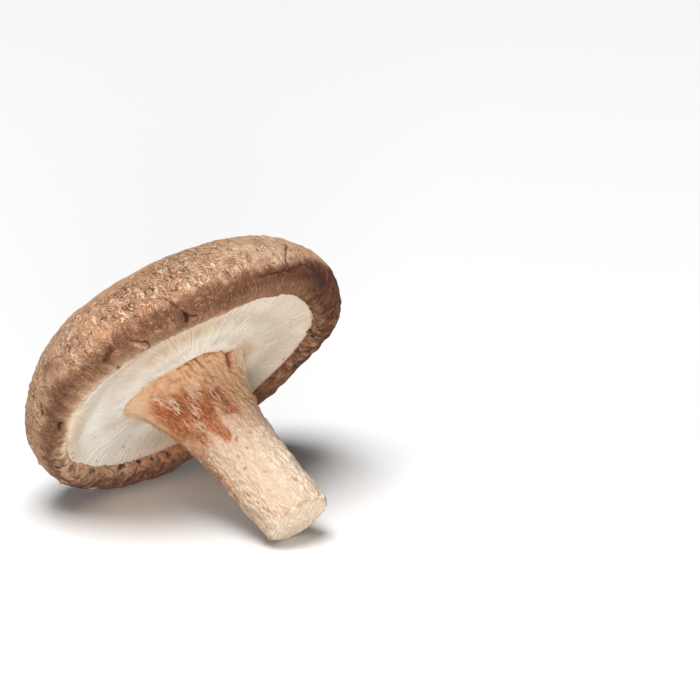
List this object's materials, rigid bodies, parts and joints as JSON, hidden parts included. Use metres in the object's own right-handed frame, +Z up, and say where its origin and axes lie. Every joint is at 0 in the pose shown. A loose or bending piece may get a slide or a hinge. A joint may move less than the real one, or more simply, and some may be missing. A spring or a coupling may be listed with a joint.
{
  "type": "shiitake mushroom",
  "caption": "Whole fresh shiitake mushroom lying on its rim: domed brown cap with a rolled-in margin, cream gills, and a pale stem that widens into a collar and ends in a plain cut.",
  "frame": {"origin": "middle of the footprint, on the surface that the mushroom rests on", "axes": "+Z up from the surface; the stem points towards -Y and down, the crown of the cap towards +Y and up; +X across the cap, its longest side"},
  "size_m": [0.066, 0.0568, 0.0563],
  "materials": {
    "cap_skin": "matte",
    "gills": "matte",
    "stem": "matte"
  },
  "bodies": {
    "root": {"shiitake_mushroom": "cap_skin"}
  },
  "joints": []
}
